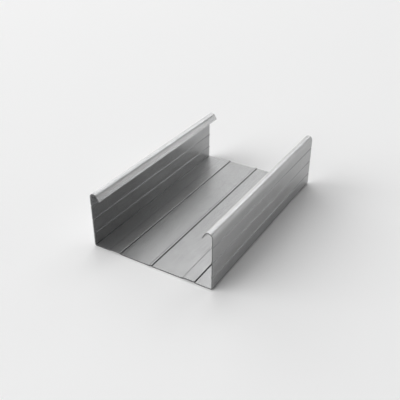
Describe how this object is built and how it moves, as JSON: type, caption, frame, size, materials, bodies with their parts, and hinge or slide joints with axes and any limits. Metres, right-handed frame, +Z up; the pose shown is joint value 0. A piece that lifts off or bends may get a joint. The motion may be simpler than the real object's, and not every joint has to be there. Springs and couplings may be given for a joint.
{
  "type": "ceiling channel",
  "caption": "Short length of thin galvanized C channel with inward lips, beaded flanges and a web with a ridge and raised pads.",
  "frame": {"origin": "centre of the rectangle on which the underside of the web lies", "axes": "+Y along the channel's length, +Z up through its open side, +X across its width"},
  "size_m": [0.06, 0.1, 0.027],
  "materials": {
    "galvanized_steel": "satin zinc coating"
  },
  "bodies": {
    "root": {"ceiling_channel": "galvanized_steel"}
  },
  "joints": []
}
